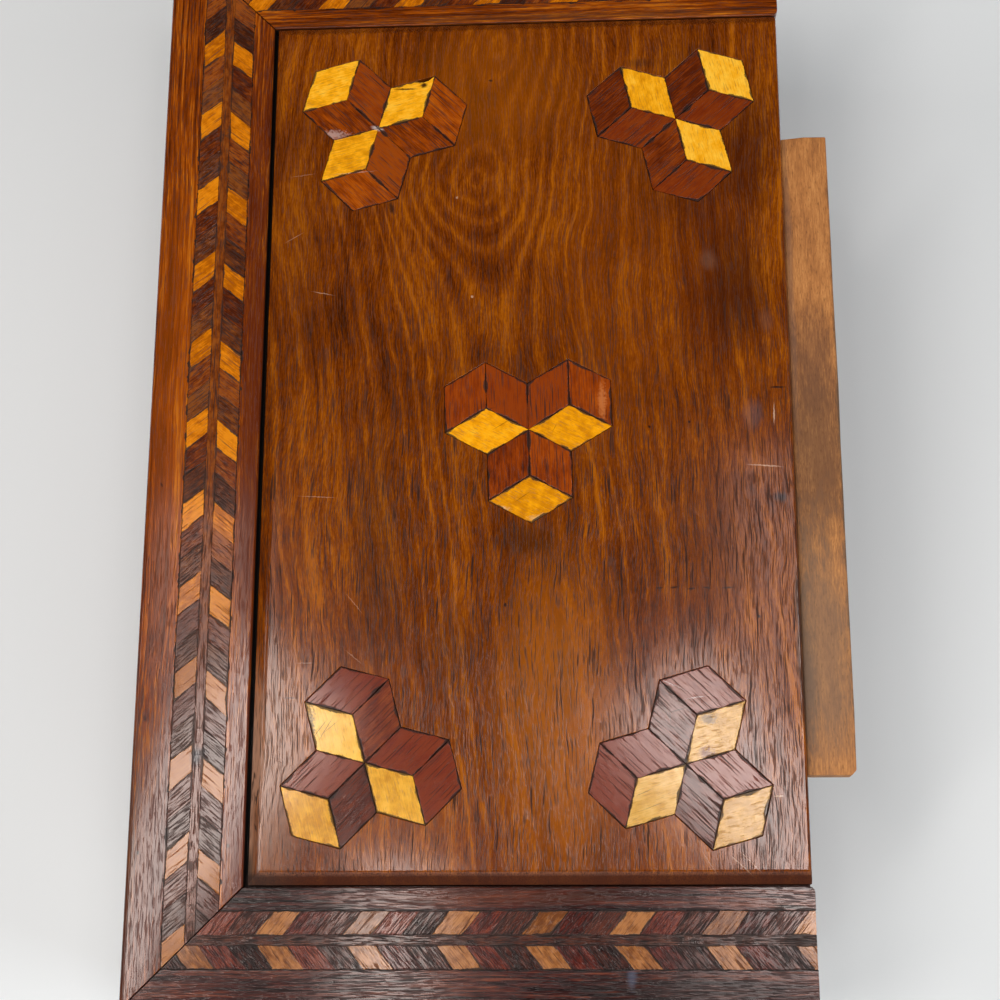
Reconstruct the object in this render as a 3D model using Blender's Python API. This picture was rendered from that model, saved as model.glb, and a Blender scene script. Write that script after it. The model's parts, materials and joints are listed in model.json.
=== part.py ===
"""Marquetry jewelry box with a sliding lid. Metres, +Z up.

The origin is the middle of the underside. Y runs along the box, near is -Y and far is +Y. The side
at +X has no frame rail: the lid leaves there, in grooves in the near and far rails.

A rail, its banding and a wall are modelled in a frame of their own, with x along the piece, y
outwards and z up, and are then turned about the middle of the box to their side.
"""

from math import ceil, cos, floor, pi, radians, sin, tan

import bmesh
import bpy
from mathutils import Matrix, Vector

# The whole box
BOX_LENGTH = 0.2945
BOX_DEPTH = 0.1693
FRAME_TOP = 0.0925
GLUE_LINE = 0.0003
RUNNING_GAP = 0.0003

# Carcase
BOTTOM_THICKNESS = 0.008
BOTTOM_ROUNDING = 0.0024
WALL_THICKNESS = 0.010
WALL_SETBACK = 0.0015

# Frame rails, from the outer edge to the lid: border, row, string, row, border
RAIL_THICKNESS = 0.012
OUTER_BORDER = 0.0100
ROW_WIDTH = 0.0057
STRING_WIDTH = 0.0025
INNER_BORDER = 0.0057
RAIL_ROUNDING = 0.0014
RAIL_ARRIS = 0.0004
RAIL_END_ROUNDING = 0.0014

# Herringbone banding, let into a channel in each rail
BANDING_DEPTH = 0.0018
BANDING_BED = 0.0007
BED_LIP = 0.0001
SLIP_JOINT = 0.0002
SLIP_SLANT = radians(39.0)
LONG_RAIL_SLIP = 0.0074
SHORT_RAIL_SLIP = 0.00725
# Where a pale slip's point lies from the middle of the rail, in the outer and the inner row
LEFT_RAIL_POINTS = (0.0069, 0.0032)
FAR_RAIL_POINTS = (0.0131, 0.0122)
NEAR_RAIL_POINTS = (0.0075, 0.0084)

# Sliding lid: a raised field, and a thin tongue round three sides that runs in the rails' grooves
LID_THICKNESS = 0.009
LID_RISE = 0.0020
LID_LEFT_GAP = 0.0012
LID_SIDE_GAP = 0.0005
LID_END_INSET = 0.0007
LID_BEVEL_WIDTH = 0.0026
LID_BEVEL_DROP = 0.0022
LID_ROUNDING = 0.0009
TONGUE_THICKNESS = 0.003
TONGUE_REACH = 0.005

# Pull strip along the lid's open edge
PULL_LENGTH = 0.1723
PULL_REACH = 0.0119
PULL_DROP = 0.0038
PULL_OFFSET = -0.0046
PULL_END_SKEW = 0.0007
PULL_CORNER_CUT = 0.0014

# Cube inlays: three cubes round one corner, each of one pale and two dark rhombus slips
CUBE_SIDE = 0.0125
INLAY_THICKNESS = 0.0020
GROUP_MARGIN_X = 0.0289
GROUP_MARGIN_Y = 0.0300
CUBE_DIRECTIONS = (radians(150.0), radians(30.0), radians(270.0))
PALE_DIRECTION = radians(-90.0)
FACES = (("light", 0.0), ("dark_a", radians(120.0)), ("dark_b", radians(240.0)))
# Side of the lid in x and y, turn, and how far the group was laid off its place
GROUPS = {
    "far_left": (-1, 1, radians(225.0), -0.0001, -0.0019),
    "far_right": (1, 1, radians(132.5), 0.0008, -0.0012),
    "centre": (0, 0, radians(1.5), 0.0007, -0.0015),
    "near_left": (-1, -1, radians(-45.0), -0.0003, -0.0004),
    "near_right": (1, -1, radians(46.0), -0.0008, -0.0011),
}
# Chips in two pale slips: share of the way along the slip's side, the side's sign, and the size
CHIPS = {
    "inlay_far_left_cube_1_light": (0.72, -1, 0.0013),
    "inlay_near_right_cube_3_light": (0.55, 1, 0.0010),
}
CHIP_DEPTH = 0.0008

CUTTER_MARGIN = 0.002

# Worked out from the sizes above
BANDING_WIDTH = 2 * ROW_WIDTH + STRING_WIDTH
RAIL_WIDTH = OUTER_BORDER + BANDING_WIDTH + INNER_BORDER
RAIL_UNDERSIDE = FRAME_TOP - RAIL_THICKNESS
LID_TOP = FRAME_TOP + LID_RISE
LID_UNDERSIDE = LID_TOP - LID_THICKNESS
OPENING_LEFT = -BOX_DEPTH / 2 + RAIL_WIDTH
OPENING_HALF_LENGTH = BOX_LENGTH / 2 - RAIL_WIDTH
OPEN_END = BOX_DEPTH / 2
FIELD_LEFT = OPENING_LEFT + LID_LEFT_GAP
FIELD_RIGHT = OPEN_END - LID_END_INSET
FIELD_HALF_LENGTH = OPENING_HALF_LENGTH - LID_SIDE_GAP
LID_CENTRE_X = (FIELD_LEFT + FIELD_RIGHT) / 2
FIELD_HALF_WIDTH = (FIELD_RIGHT - FIELD_LEFT) / 2

# Outer edge, two ends, which ends are mitred, turn, slip width and the pale slips' points
RAILS = {
    "left": (BOX_DEPTH / 2, -BOX_LENGTH / 2, BOX_LENGTH / 2, (True, True), pi / 2,
             LONG_RAIL_SLIP, LEFT_RAIL_POINTS),
    "far": (BOX_LENGTH / 2, -BOX_DEPTH / 2, BOX_DEPTH / 2, (True, False), 0.0,
            SHORT_RAIL_SLIP, FAR_RAIL_POINTS),
    "near": (BOX_LENGTH / 2, -BOX_DEPTH / 2, BOX_DEPTH / 2, (False, True), pi,
             SHORT_RAIL_SLIP, NEAR_RAIL_POINTS),
}
# Half the box across and along each wall, and the wall's turn
WALLS = {
    "left": (BOX_DEPTH / 2, BOX_LENGTH / 2, pi / 2),
    "far": (BOX_LENGTH / 2, BOX_DEPTH / 2, 0.0),
    "near": (BOX_LENGTH / 2, BOX_DEPTH / 2, pi),
    "right": (BOX_DEPTH / 2, BOX_LENGTH / 2, -pi / 2),
}


def clear_scene():
    for thing in list(bpy.data.objects):
        bpy.data.objects.remove(thing, do_unlink=True)


def new_collection(name):
    collection = bpy.data.collections.new(name)
    bpy.context.scene.collection.children.link(collection)
    return collection


def wood(name, colour, roughness):
    material = bpy.data.materials.new(name)
    material.use_nodes = True
    shader = material.node_tree.nodes["Principled BSDF"]
    shader.inputs["Base Color"].default_value = (*colour, 1.0)
    shader.inputs["Roughness"].default_value = roughness
    shader.inputs["Metallic"].default_value = 0.0
    return material


def board(low, high):
    """A squared board between two corners."""
    shape = bmesh.new()
    bmesh.ops.create_cube(shape, size=1.0)
    bmesh.ops.scale(shape, vec=Vector(high) - Vector(low), verts=shape.verts)
    bmesh.ops.translate(shape, vec=(Vector(high) + Vector(low)) / 2, verts=shape.verts)
    return shape


def saw(shape, point, waste):
    """Cuts along a plane, drops the side that waste points to, and closes the cut."""
    everything = shape.verts[:] + shape.edges[:] + shape.faces[:]
    bmesh.ops.bisect_plane(
        shape, geom=everything, dist=1e-7, plane_co=point, plane_no=waste, clear_outer=True
    )
    open_edges = [edge for edge in shape.edges if edge.is_boundary]
    bmesh.ops.holes_fill(shape, edges=open_edges)


def round_edges(shape, is_chosen, radius, segments):
    """Rounds the edges whose two end points both pass the test."""
    chosen = [edge for edge in shape.edges if all(is_chosen(v.co) for v in edge.verts)]
    bmesh.ops.bevel(
        shape, geom=chosen, offset=radius, segments=segments, profile=0.5,
        affect="EDGES", clamp_overlap=True,
    )


def near(value, target):
    return abs(value - target) < 1e-6


def saw_mitres(shape, outer, start, end, mitred, back=GLUE_LINE / 2):
    """Cuts 45 degree mitres at the chosen ends, each a little back from the true corner."""
    if mitred[0]:
        waste = Vector((-1, -1, 0)).normalized()
        saw(shape, Vector((start, outer, 0)) - waste * back, waste)
    if mitred[1]:
        waste = Vector((1, -1, 0)).normalized()
        saw(shape, Vector((end, outer, 0)) - waste * back, waste)


def make_mesh(name, shape):
    bmesh.ops.recalc_face_normals(shape, faces=shape.faces)
    mesh = bpy.data.meshes.new(name)
    shape.to_mesh(mesh)
    shape.free()
    return mesh


def add_piece(name, mesh, material, parent=None, place=(0, 0, 0), turn=0.0):
    """Adds one physical piece of the box."""
    if not mesh.materials:
        mesh.materials.append(material)
    piece = bpy.data.objects.new(name, mesh)
    piece.location = place
    piece.rotation_euler = (0, 0, turn)
    piece.parent = parent
    parts.objects.link(piece)
    return piece


def add_cutter(name, shape, parent=None, place=(0, 0, 0), turn=0.0):
    """Adds a shape that other pieces are cut or joined with, and that isn't part of the box."""
    cutter = bpy.data.objects.new(name, make_mesh(name, shape))
    cutter.location = place
    cutter.rotation_euler = (0, 0, turn)
    cutter.parent = parent
    cutter.display_type = "WIRE"
    cutter.hide_render = True
    cutters.objects.link(cutter)
    return cutter


def add_empty(name, parent=None, place=(0, 0, 0), turn=0.0):
    empty = bpy.data.objects.new(name, None)
    empty.location = place
    empty.rotation_euler = (0, 0, turn)
    empty.parent = parent
    parts.objects.link(empty)
    return empty


def combine(piece, cutter, operation="DIFFERENCE"):
    boolean = piece.modifiers.new(cutter.name, "BOOLEAN")
    boolean.operation = operation
    boolean.solver = "EXACT"
    boolean.object = cutter


def add_bottom():
    """The bottom board, which stands a little proud of the walls, with a rounded top edge."""
    corner = Vector((BOX_DEPTH / 2, BOX_LENGTH / 2, 0))
    shape = board(-corner, corner + Vector((0, 0, BOTTOM_THICKNESS)))
    round_edges(shape, lambda p: near(p.z, BOTTOM_THICKNESS), BOTTOM_ROUNDING, 3)
    add_piece("bottom_board", make_mesh("bottom_board", shape), carcase_walnut)


def add_wall(side):
    """One mitred wall. The right wall is taller between the rails, up to the lid's underside."""
    half_across, half_along, turn = WALLS[side]
    outer = half_across - WALL_SETBACK
    end = half_along - WALL_SETBACK
    low = BOTTOM_THICKNESS + GLUE_LINE
    top = RAIL_UNDERSIDE - GLUE_LINE
    crest = LID_UNDERSIDE - RUNNING_GAP if side == "right" else top
    shape = board((-end, outer - WALL_THICKNESS, low), (end, outer, crest))
    saw_mitres(shape, outer, -end, end, (True, True))
    name = f"wall_{side}"
    wall = add_piece(name, make_mesh(name, shape), carcase_walnut, turn=turn)
    if side != "right":
        return
    for label, sign in (("near", 1), ("far", -1)):
        inside = sign * (OPENING_HALF_LENGTH - GLUE_LINE)
        outside = sign * (half_along + CUTTER_MARGIN)
        notch = board(
            (min(inside, outside), outer - WALL_THICKNESS - CUTTER_MARGIN, top),
            (max(inside, outside), outer + CUTTER_MARGIN, crest + CUTTER_MARGIN),
        )
        combine(wall, add_cutter(f"cut_wall_shoulder_{label}", notch, turn=turn))


def add_rail(side):
    """One frame rail, grooved on its inner edge and channelled on top for the banding."""
    outer, start, end, mitred, turn, _, _ = RAILS[side]
    inner = outer - RAIL_WIDTH
    shape = board((start, inner, RAIL_UNDERSIDE), (end, outer, FRAME_TOP))
    saw_mitres(shape, outer, start, end, mitred)
    for square_end, is_mitred in ((start, mitred[0]), (end, mitred[1])):
        if not is_mitred:
            round_edges(shape, lambda p: near(p.x, square_end) and near(p.y, inner),
                        RAIL_END_ROUNDING, 3)
            round_edges(shape, lambda p: near(p.x, square_end) and near(p.y, outer),
                        RAIL_END_ROUNDING, 3)
    round_edges(shape, lambda p: near(p.y, outer) and near(p.z, FRAME_TOP), RAIL_ROUNDING, 3)
    round_edges(shape, lambda p: near(p.y, inner) and near(p.z, FRAME_TOP), RAIL_ARRIS, 1)
    name = f"rail_{side}"
    rail = add_piece(name, make_mesh(name, shape), frame_walnut, turn=turn)
    groove = board(
        (start - CUTTER_MARGIN, inner - CUTTER_MARGIN, LID_UNDERSIDE - RUNNING_GAP),
        (end + CUTTER_MARGIN, inner + TONGUE_REACH + RUNNING_GAP,
         LID_UNDERSIDE + TONGUE_THICKNESS + RUNNING_GAP),
    )
    combine(rail, add_cutter(f"cut_groove_{side}", groove, turn=turn))
    channel = board(
        (start - CUTTER_MARGIN, inner + INNER_BORDER, FRAME_TOP - BANDING_DEPTH),
        (end + CUTTER_MARGIN, inner + INNER_BORDER + BANDING_WIDTH, FRAME_TOP + CUTTER_MARGIN),
    )
    combine(rail, add_cutter(f"cut_channel_{side}", channel, turn=turn))


def add_slip_row(shape, centre_y, width, away, start, end, slip, point):
    """One row of slanted slips, all pointing the same way along the rail.

    away is +1 where the row lies outside the string and -1 where it lies inside it. point is where a
    slip's leading corner meets the string.
    """
    slant = tan(SLIP_SLANT)
    low = FRAME_TOP - BANDING_DEPTH + GLUE_LINE + BANDING_BED / 2
    joint = SLIP_JOINT / cos(SLIP_SLANT)
    first = floor((start - point) / slip)
    last = ceil((end + width * slant - point) / slip) + 1
    for step in range(first, last):
        middle_x = point + step * slip - slip / 2 - width * slant / 2
        place = Matrix.Translation((middle_x, centre_y, (low + FRAME_TOP) / 2))
        size = Matrix.Diagonal((slip - joint, width, FRAME_TOP - low, 1))
        lean = Matrix.Identity(4)
        lean[0][1] = -away * slant
        bmesh.ops.create_cube(shape, size=1.0, matrix=place @ lean @ size)


def add_banding(side):
    """Two rows of slips either side of a plain string, fused on a bed a little wider than they are."""
    outer, start, end, mitred, turn, slip, points = RAILS[side]
    channel_low = outer - RAIL_WIDTH + INNER_BORDER
    channel_high = channel_low + BANDING_WIDTH
    middle = (channel_low + channel_high) / 2
    bed_low = FRAME_TOP - BANDING_DEPTH + GLUE_LINE
    bed = board((start, channel_low + GLUE_LINE, bed_low),
                (end, channel_high - GLUE_LINE, bed_low + BANDING_BED))
    saw_mitres(bed, outer, start, end, mitred)
    name = f"banding_{side}"
    banding = add_piece(name, make_mesh(name, bed), banding_woods, turn=turn)

    string_edge = STRING_WIDTH / 2 - SLIP_JOINT / 2
    slips = board((start, middle - string_edge, bed_low + BANDING_BED / 2),
                  (end, middle + string_edge, FRAME_TOP))
    row_low = STRING_WIDTH / 2 + SLIP_JOINT / 2
    row_high = BANDING_WIDTH / 2 - GLUE_LINE - BED_LIP
    for away, point in zip((1, -1), points):
        add_slip_row(slips, middle + away * (row_low + row_high) / 2, row_high - row_low,
                     away, start, end, slip, point)
    saw(slips, Vector((start + BED_LIP, 0, 0)), Vector((-1, 0, 0)))
    saw(slips, Vector((end - BED_LIP, 0, 0)), Vector((1, 0, 0)))
    saw_mitres(slips, outer, start, end, mitred, GLUE_LINE / 2 + BED_LIP)
    combine(banding, add_cutter(f"join_slips_{side}", slips, turn=turn), "UNION")


def lid_point(x, y, z):
    """A point of the box, as seen from the lid's own origin."""
    return Vector((x - LID_CENTRE_X, y, z - LID_UNDERSIDE))


def add_lid_panel(lid):
    """The lid's tongue and its raised field, bevelled on the three sides that the rails hold."""
    reach = OPENING_HALF_LENGTH + TONGUE_REACH
    tongue = board(
        lid_point(OPENING_LEFT - TONGUE_REACH, -reach, LID_UNDERSIDE),
        lid_point(FIELD_RIGHT, reach, LID_UNDERSIDE + TONGUE_THICKNESS),
    )
    panel = add_piece("lid_panel", make_mesh("lid_panel", tongue), lid_walnut, parent=lid)
    low = LID_UNDERSIDE + TONGUE_THICKNESS / 2
    field = board(lid_point(FIELD_LEFT, -FIELD_HALF_LENGTH, low),
                  lid_point(FIELD_RIGHT, FIELD_HALF_LENGTH, LID_TOP))
    foot = LID_THICKNESS - LID_BEVEL_DROP
    for side_x, side_y in ((-1, 0), (0, -1), (0, 1)):
        edge = Vector((side_x * FIELD_HALF_WIDTH, side_y * FIELD_HALF_LENGTH, foot))
        waste = Vector((side_x * LID_BEVEL_DROP, side_y * LID_BEVEL_DROP, LID_BEVEL_WIDTH))
        saw(field, edge, waste.normalized())
    round_edges(field, lambda p: near(p.z, LID_THICKNESS), LID_ROUNDING, 3)
    combine(panel, add_cutter("join_lid_field", field, parent=lid), "UNION")
    return panel


def add_lid_pull(lid):
    """The raw strip on the lid's open edge: a flat outline with one corner knocked off."""
    left = FIELD_RIGHT + GLUE_LINE - LID_CENTRE_X
    right = OPEN_END + PULL_REACH - LID_CENTRE_X
    far_end = PULL_OFFSET + PULL_LENGTH / 2
    near_end = PULL_OFFSET - PULL_LENGTH / 2
    thickness = LID_THICKNESS - PULL_DROP
    corners = (
        (left, near_end),
        (right - PULL_CORNER_CUT, near_end),
        (right, near_end + PULL_CORNER_CUT),
        (right, far_end),
        (left, far_end - PULL_END_SKEW),
    )
    outline = bpy.data.curves.new("lid_pull_outline", "CURVE")
    outline.dimensions = "2D"
    outline.fill_mode = "BOTH"
    outline.extrude = thickness / 2
    spline = outline.splines.new("POLY")
    spline.points.add(len(corners) - 1)
    for point, (x, y) in zip(spline.points, corners):
        point.co = (x, y, 0, 1)
    spline.use_cyclic_u = True
    drawn = bpy.data.objects.new("lid_pull_outline", outline)
    cutters.objects.link(drawn)
    bpy.context.view_layer.update()
    graph = bpy.context.evaluated_depsgraph_get()
    mesh = bpy.data.meshes.new_from_object(drawn.evaluated_get(graph))
    mesh.name = "lid_pull"
    bpy.data.objects.remove(drawn)
    shape = bmesh.new()
    shape.from_mesh(mesh)
    bmesh.ops.remove_doubles(shape, verts=shape.verts, dist=1e-6)
    shape.to_mesh(mesh)
    shape.free()
    add_piece("lid_pull", mesh, raw_beech, parent=lid, place=(0, 0, thickness / 2))


def rhombus_slip(name):
    """A 60 degree rhombus slip: its short diagonal lies along x, and its origin is its middle."""
    side = CUBE_SIDE - GLUE_LINE / sin(radians(60.0))
    lean = Matrix((
        (cos(radians(60.0)), cos(radians(60.0)), 0, 0),
        (sin(radians(60.0)), -sin(radians(60.0)), 0, 0),
        (0, 0, 1, 0),
        (0, 0, 0, 1),
    ))
    shape = bmesh.new()
    bmesh.ops.create_cube(shape, size=1.0, matrix=lean @ Matrix.Diagonal((side, side, INLAY_THICKNESS, 1)))
    return make_mesh(name, shape)


def add_pocket(panel, group, cube, centre):
    """A hexagon pocket for one cube. Its neighbours' pockets open into it."""
    depth = INLAY_THICKNESS + GLUE_LINE
    shape = bmesh.new()
    radius = CUBE_SIDE + GLUE_LINE / 2 / cos(radians(30.0))
    bmesh.ops.create_cone(
        shape, cap_ends=True, segments=6, radius1=radius, radius2=radius,
        depth=depth + CUTTER_MARGIN,
    )
    place = centre + Vector((0, 0, (CUTTER_MARGIN - depth) / 2))
    name = f"cut_pocket_{group.name}_{cube}"
    combine(panel, add_cutter(name, shape, parent=group, place=place))


def add_chip(slip, along, side_sign, size):
    """A broken bit out of a slip's edge, between its outer corner and one of its sharp corners."""
    half_short = CUBE_SIDE / 2
    half_long = CUBE_SIDE * cos(radians(30.0))
    place = Vector((half_short * (1 - along), side_sign * half_long * along, INLAY_THICKNESS / 2))
    shape = bmesh.new()
    bmesh.ops.create_cone(shape, cap_ends=True, segments=5, radius1=size, radius2=size * 1.2,
                          depth=2 * CHIP_DEPTH)
    combine(slip, add_cutter(f"cut_chip_{slip.name}", shape, parent=slip, place=place))


def add_group(lid, panel, name, light_mesh, dark_mesh):
    """Three cubes round one corner, let flush into the lid."""
    side_x, side_y, turn, drift_x, drift_y = GROUPS[name]
    place = Vector((
        side_x * (FIELD_HALF_WIDTH - GROUP_MARGIN_X) + drift_x,
        side_y * (FIELD_HALF_LENGTH - GROUP_MARGIN_Y) + drift_y,
        LID_THICKNESS,
    ))
    group = add_empty(name, parent=lid, place=place, turn=turn)
    for cube, direction in enumerate(CUBE_DIRECTIONS, start=1):
        centre = Vector((cos(direction), sin(direction), 0)) * CUBE_SIDE
        add_pocket(panel, group, cube, centre)
        for face, offset in FACES:
            heading = PALE_DIRECTION + offset
            middle = centre + Vector((cos(heading), sin(heading), 0)) * CUBE_SIDE / 2
            middle.z = -INLAY_THICKNESS / 2
            mesh, veneer = (light_mesh, pale_inlay) if face == "light" else (dark_mesh, dark_inlay)
            slip_name = f"inlay_{name}_cube_{cube}_{face}"
            slip = add_piece(slip_name, mesh, veneer, parent=group, place=middle, turn=heading)
            if slip_name in CHIPS:
                add_chip(slip, *CHIPS[slip_name])


clear_scene()
parts = new_collection("marquetry_jewelry_box")
cutters = new_collection("cutters")

carcase_walnut = wood("carcase_walnut", (0.145, 0.052, 0.018), 0.42)
frame_walnut = wood("frame_walnut", (0.160, 0.050, 0.014), 0.36)
lid_walnut = wood("lid_walnut", (0.220, 0.078, 0.015), 0.32)
banding_woods = wood("banding_woods", (0.200, 0.070, 0.030), 0.38)
pale_inlay = wood("pale_inlay", (0.800, 0.420, 0.060), 0.34)
dark_inlay = wood("dark_inlay", (0.130, 0.030, 0.012), 0.36)
raw_beech = wood("raw_beech", (0.420, 0.220, 0.100), 0.70)

add_bottom()
for wall_side in WALLS:
    add_wall(wall_side)
for rail_side in RAILS:
    add_rail(rail_side)
    add_banding(rail_side)

lid_origin = add_empty("lid", place=(LID_CENTRE_X, 0, LID_UNDERSIDE))
lid_board = add_lid_panel(lid_origin)
add_lid_pull(lid_origin)
light_slip = rhombus_slip("light_slip")
dark_slip = rhombus_slip("dark_slip")
for group_name in GROUPS:
    add_group(lid_origin, lid_board, group_name, light_slip, dark_slip)
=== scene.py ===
# %% [markdown]
# # A marquetry jewelry box
# The box is walnut: a low carcase, a mitred frame on three sides with herringbone banding, and a
# sliding lid with five groups of tumbling-block cubes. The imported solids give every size. This lesson
# dresses them: it softens the edges of the boards, cuts the small slips one by one, and gives each wood
# its own grain, pores, wear and finish.

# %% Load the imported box
import json
import random
from math import atan2, atanh, ceil, cos, floor, pi, radians, sin, tan

import bmesh
import bpy
from mathutils import Matrix, Vector

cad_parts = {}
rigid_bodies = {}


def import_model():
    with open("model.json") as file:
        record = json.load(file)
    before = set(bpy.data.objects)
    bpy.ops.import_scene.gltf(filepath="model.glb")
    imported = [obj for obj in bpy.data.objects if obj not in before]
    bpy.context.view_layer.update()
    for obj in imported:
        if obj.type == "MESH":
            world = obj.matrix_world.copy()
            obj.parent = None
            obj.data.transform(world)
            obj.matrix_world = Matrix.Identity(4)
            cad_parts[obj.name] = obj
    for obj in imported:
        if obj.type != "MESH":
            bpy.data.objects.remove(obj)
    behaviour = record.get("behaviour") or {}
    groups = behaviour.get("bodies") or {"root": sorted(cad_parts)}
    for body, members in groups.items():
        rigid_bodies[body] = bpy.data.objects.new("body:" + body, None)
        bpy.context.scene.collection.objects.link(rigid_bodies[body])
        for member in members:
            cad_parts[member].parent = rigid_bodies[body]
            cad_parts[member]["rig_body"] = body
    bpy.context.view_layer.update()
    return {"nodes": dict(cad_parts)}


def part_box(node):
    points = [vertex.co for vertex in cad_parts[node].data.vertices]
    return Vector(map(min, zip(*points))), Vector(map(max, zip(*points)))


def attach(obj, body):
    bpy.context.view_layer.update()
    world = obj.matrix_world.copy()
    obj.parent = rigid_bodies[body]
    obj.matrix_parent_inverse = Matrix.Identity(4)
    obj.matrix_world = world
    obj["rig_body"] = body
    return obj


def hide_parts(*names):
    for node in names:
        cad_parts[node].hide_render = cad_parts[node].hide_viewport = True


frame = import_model()
MM = 1000  # millimetres in a metre
scene = bpy.context.scene

# %% [markdown]
# ## The camera
# The picture was taken by hand from above the near end, looking down and a little away. The straight
# edges of the frame meet at two vanishing points, which give the lens and the three angles. A camera
# is set with plain numbers here, because nothing in the scene has to follow it.

# %% Camera
SENSOR_WIDTH = 36.0
LENS = 1808.0 / 1000.0 * SENSOR_WIDTH

camera = bpy.data.cameras.new("camera")
camera.sensor_width = SENSOR_WIDTH
camera.lens = LENS
camera.clip_start = 0.01
camera_object = bpy.data.objects.new("camera", camera)
camera_object.location = (0.0338, -0.1416, 0.5423)
camera_object.rotation_euler = (radians(15.125), radians(3.233), radians(0.070))
scene.collection.objects.link(camera_object)
scene.camera = camera_object
scene.view_settings.view_transform = "Standard"
print("camera", round(LENS, 1), "mm, height", camera_object.location.z)

# %% [markdown]
# ## Light and floor
# A polished top looks dull or bright depending on what it mirrors. The near end of this one mirrors a
# wide soft light on the left and a weaker one on the right, and its far end mirrors almost nothing.
# The soft boxes named mirrored stand where those mirrored rays go, one shows in the lid's left bevel,
# and the other two light the box from places that the top doesn't mirror. Area lights are used,
# because their size gives the softness.

# %% Colour and node helpers
def paint(code):
    """Turns an sRGB hex colour into the linear colour that shaders work with."""
    parts = [int(code[i:i + 2], 16) / 255 for i in (1, 3, 5)]
    return tuple(p / 12.92 if p <= 0.04045 else ((p + 0.055) / 1.055) ** 2.4 for p in parts) + (1.0,)


def put(tree, kind, inputs=None, stops=None, **settings):
    """Adds one shader node. inputs holds values, or nodes and sockets to link to."""
    node = tree.nodes.new("ShaderNode" + kind)
    for name, value in settings.items():
        setattr(node, name, value)
    for key, value in (inputs or {}).items():
        if isinstance(value, bpy.types.Node):
            value = next(socket for socket in value.outputs if socket.enabled)
        if isinstance(value, bpy.types.NodeSocket):
            tree.links.new(value, node.inputs[key])
        else:
            node.inputs[key].default_value = value
    for number, (position, code) in enumerate(stops or ()):
        spots = node.color_ramp.elements
        spot = spots[number] if number < len(spots) else spots.new(position)
        spot.position = position
        spot.color = paint(code)
    return node


def add_piece(name, mesh, *materials):
    """Adds a mesh to the scene as an object with these materials."""
    for material in materials:
        mesh.materials.append(material)
    piece = bpy.data.objects.new(name, mesh)
    scene.collection.objects.link(piece)
    return piece


print("helpers ready")

# %% Lights and floor
LIGHTS = {
    # name: (place, aimed at, turn in degrees, width, length, watts, colour)
    "key": ((-0.10, -1.15, 1.25), (0.0, 0.0, 0.05), 0, 1.80, 0.90, 13.0, "#fffaf4"),
    "mirrored_left": ((-0.44, -0.13, 1.20), (-0.44, -0.13, 0.0), 50, 0.66, 0.12, 4.2, "#fff2ea"),
    "mirrored_right": ((0.225, -0.05, 1.20), (0.225, -0.05, 0.0), -48, 0.44, 0.11, 2.6, "#fff2ec"),
    "mirrored_near_left": ((-0.15, -0.115, 1.20), (-0.15, -0.115, 0.0), 0, 0.08, 0.16, 0.62, "#fff4ec"),
    "mirrored_near_right": ((0.15, -0.13, 1.20), (0.15, -0.13, 0.0), 0, 0.10, 0.12, 0.18, "#fff8f4"),
    "mirrored_far_left": ((-0.34, 0.20, 1.20), (-0.34, 0.20, 0.0), 0, 0.14, 0.16, 0.26, "#fff4ec"),
    "mirrored_far_right": ((0.20, 0.21, 1.20), (0.20, 0.21, 0.0), 0, 0.10, 0.22, 0.28, "#fff8f4"),
    "window_left": ((-1.25, 0.02, 1.15), (0.0, 0.0, 0.09), 0, 0.60, 0.30, 3.6, "#fff4ee"),
    "side_fill": ((1.60, -0.50, 0.90), (0.3, 0.0, 0.05), 0, 0.60, 1.20, 10.0, "#ffffff"),
}
for name, (place, aim, turn, width, length, watts, code) in LIGHTS.items():
    light = bpy.data.lights.new(name, "AREA")
    light.shape = "RECTANGLE"
    light.size = width
    light.size_y = length
    light.energy = watts
    light.color = paint(code)[:3]
    lamp = bpy.data.objects.new(name, light)
    lamp.location = place
    way = (Vector(aim) - Vector(place)).to_track_quat("-Z", "Y").to_matrix().to_4x4()
    lamp.rotation_euler = (way @ Matrix.Rotation(radians(turn), 4, "Z")).to_euler()
    scene.collection.objects.link(lamp)

world = bpy.data.worlds.new("studio")
world.use_nodes = True
background = world.node_tree.nodes["Background"]
background.inputs["Color"].default_value = paint("#e8ebf0")
background.inputs["Strength"].default_value = 0.05
scene.world = world

FLOOR_SIZE = 6.0
floor_mesh = bpy.data.meshes.new("floor")
half = FLOOR_SIZE / 2
floor_mesh.from_pydata([(-half, -half, 0), (half, -half, 0), (half, half, 0), (-half, half, 0)],
                       [], [(0, 1, 2, 3)])
floor_paint = bpy.data.materials.new("pale_floor")
floor_paint.use_nodes = True
tree = floor_paint.node_tree
shader = tree.nodes["Principled BSDF"]
spread = put(tree, "TexNoise", {"Vector": put(tree, "TexCoord").outputs["Object"], "Scale": 2.2})
tint = put(tree, "ValToRGB", {0: spread}, stops=[(0.35, "#e4edf2"), (0.65, "#ebf4f9")])
tree.links.new(tint.outputs[0], shader.inputs["Base Color"])
shader.inputs["Roughness"].default_value = 0.65
floor_piece = add_piece("floor", floor_mesh, floor_paint)
print("lights", len(LIGHTS), "and a floor", FLOOR_SIZE, "m across")

# %% [markdown]
# ## Grain
# Wood is a bundle of fibres, so everything in it is long one way and narrow the other. The growth
# rings give broad stripes, the fibres give fine streaks, and the cut pores of walnut show as dark
# dashes about a quarter of a millimetre wide and a few long. All three are noise that is squeezed
# across the grain. Coordinates are in millimetres, with x across the grain and y along it, so that
# each pattern can be given by its real size.

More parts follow.
